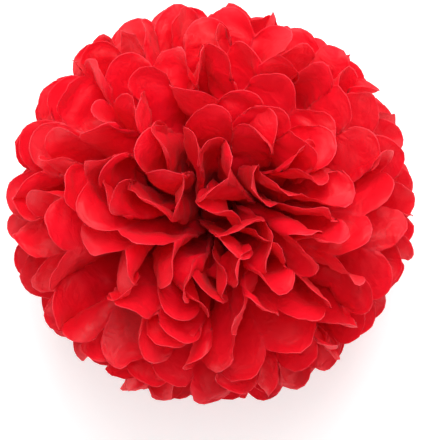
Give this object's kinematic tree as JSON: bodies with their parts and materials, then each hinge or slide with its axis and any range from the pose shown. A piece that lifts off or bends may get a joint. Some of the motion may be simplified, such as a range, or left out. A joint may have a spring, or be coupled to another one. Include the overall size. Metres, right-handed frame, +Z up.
{
  "type": "tissue paper pom pom",
  "caption": "Decorative paper ball of accordion-folded red tissue sheets with round-cut ends, tied at the middle with wire and fluffed open, to hang or stand.",
  "frame": {"origin": "under the middle of the ball, on the surface that its lowest petal tips stand on", "axes": "+Z up along the flower's axis, from one opened end of the sheet stack to the other; X along the folded strips, square to the seam where their two ends meet; Y along the seam"},
  "size_m": [0.2474, 0.2402, 0.2367],
  "materials": {
    "tissue_paper": "matt, thin and slightly see-through tissue, finely crumpled",
    "wire": "bare satin florist's wire"
  },
  "bodies": {
    "root": {"tissue_sheet_01": "tissue_paper", "tissue_sheet_02": "tissue_paper", "tissue_sheet_03": "tissue_paper", "tissue_sheet_04": "tissue_paper", "tissue_sheet_05": "tissue_paper", "tissue_sheet_06": "tissue_paper", "tissue_sheet_07": "tissue_paper", "tissue_sheet_08": "tissue_paper", "tissue_sheet_09": "tissue_paper", "tissue_sheet_10": "tissue_paper", "wire_tie": "wire"}
  },
  "joints": []
}
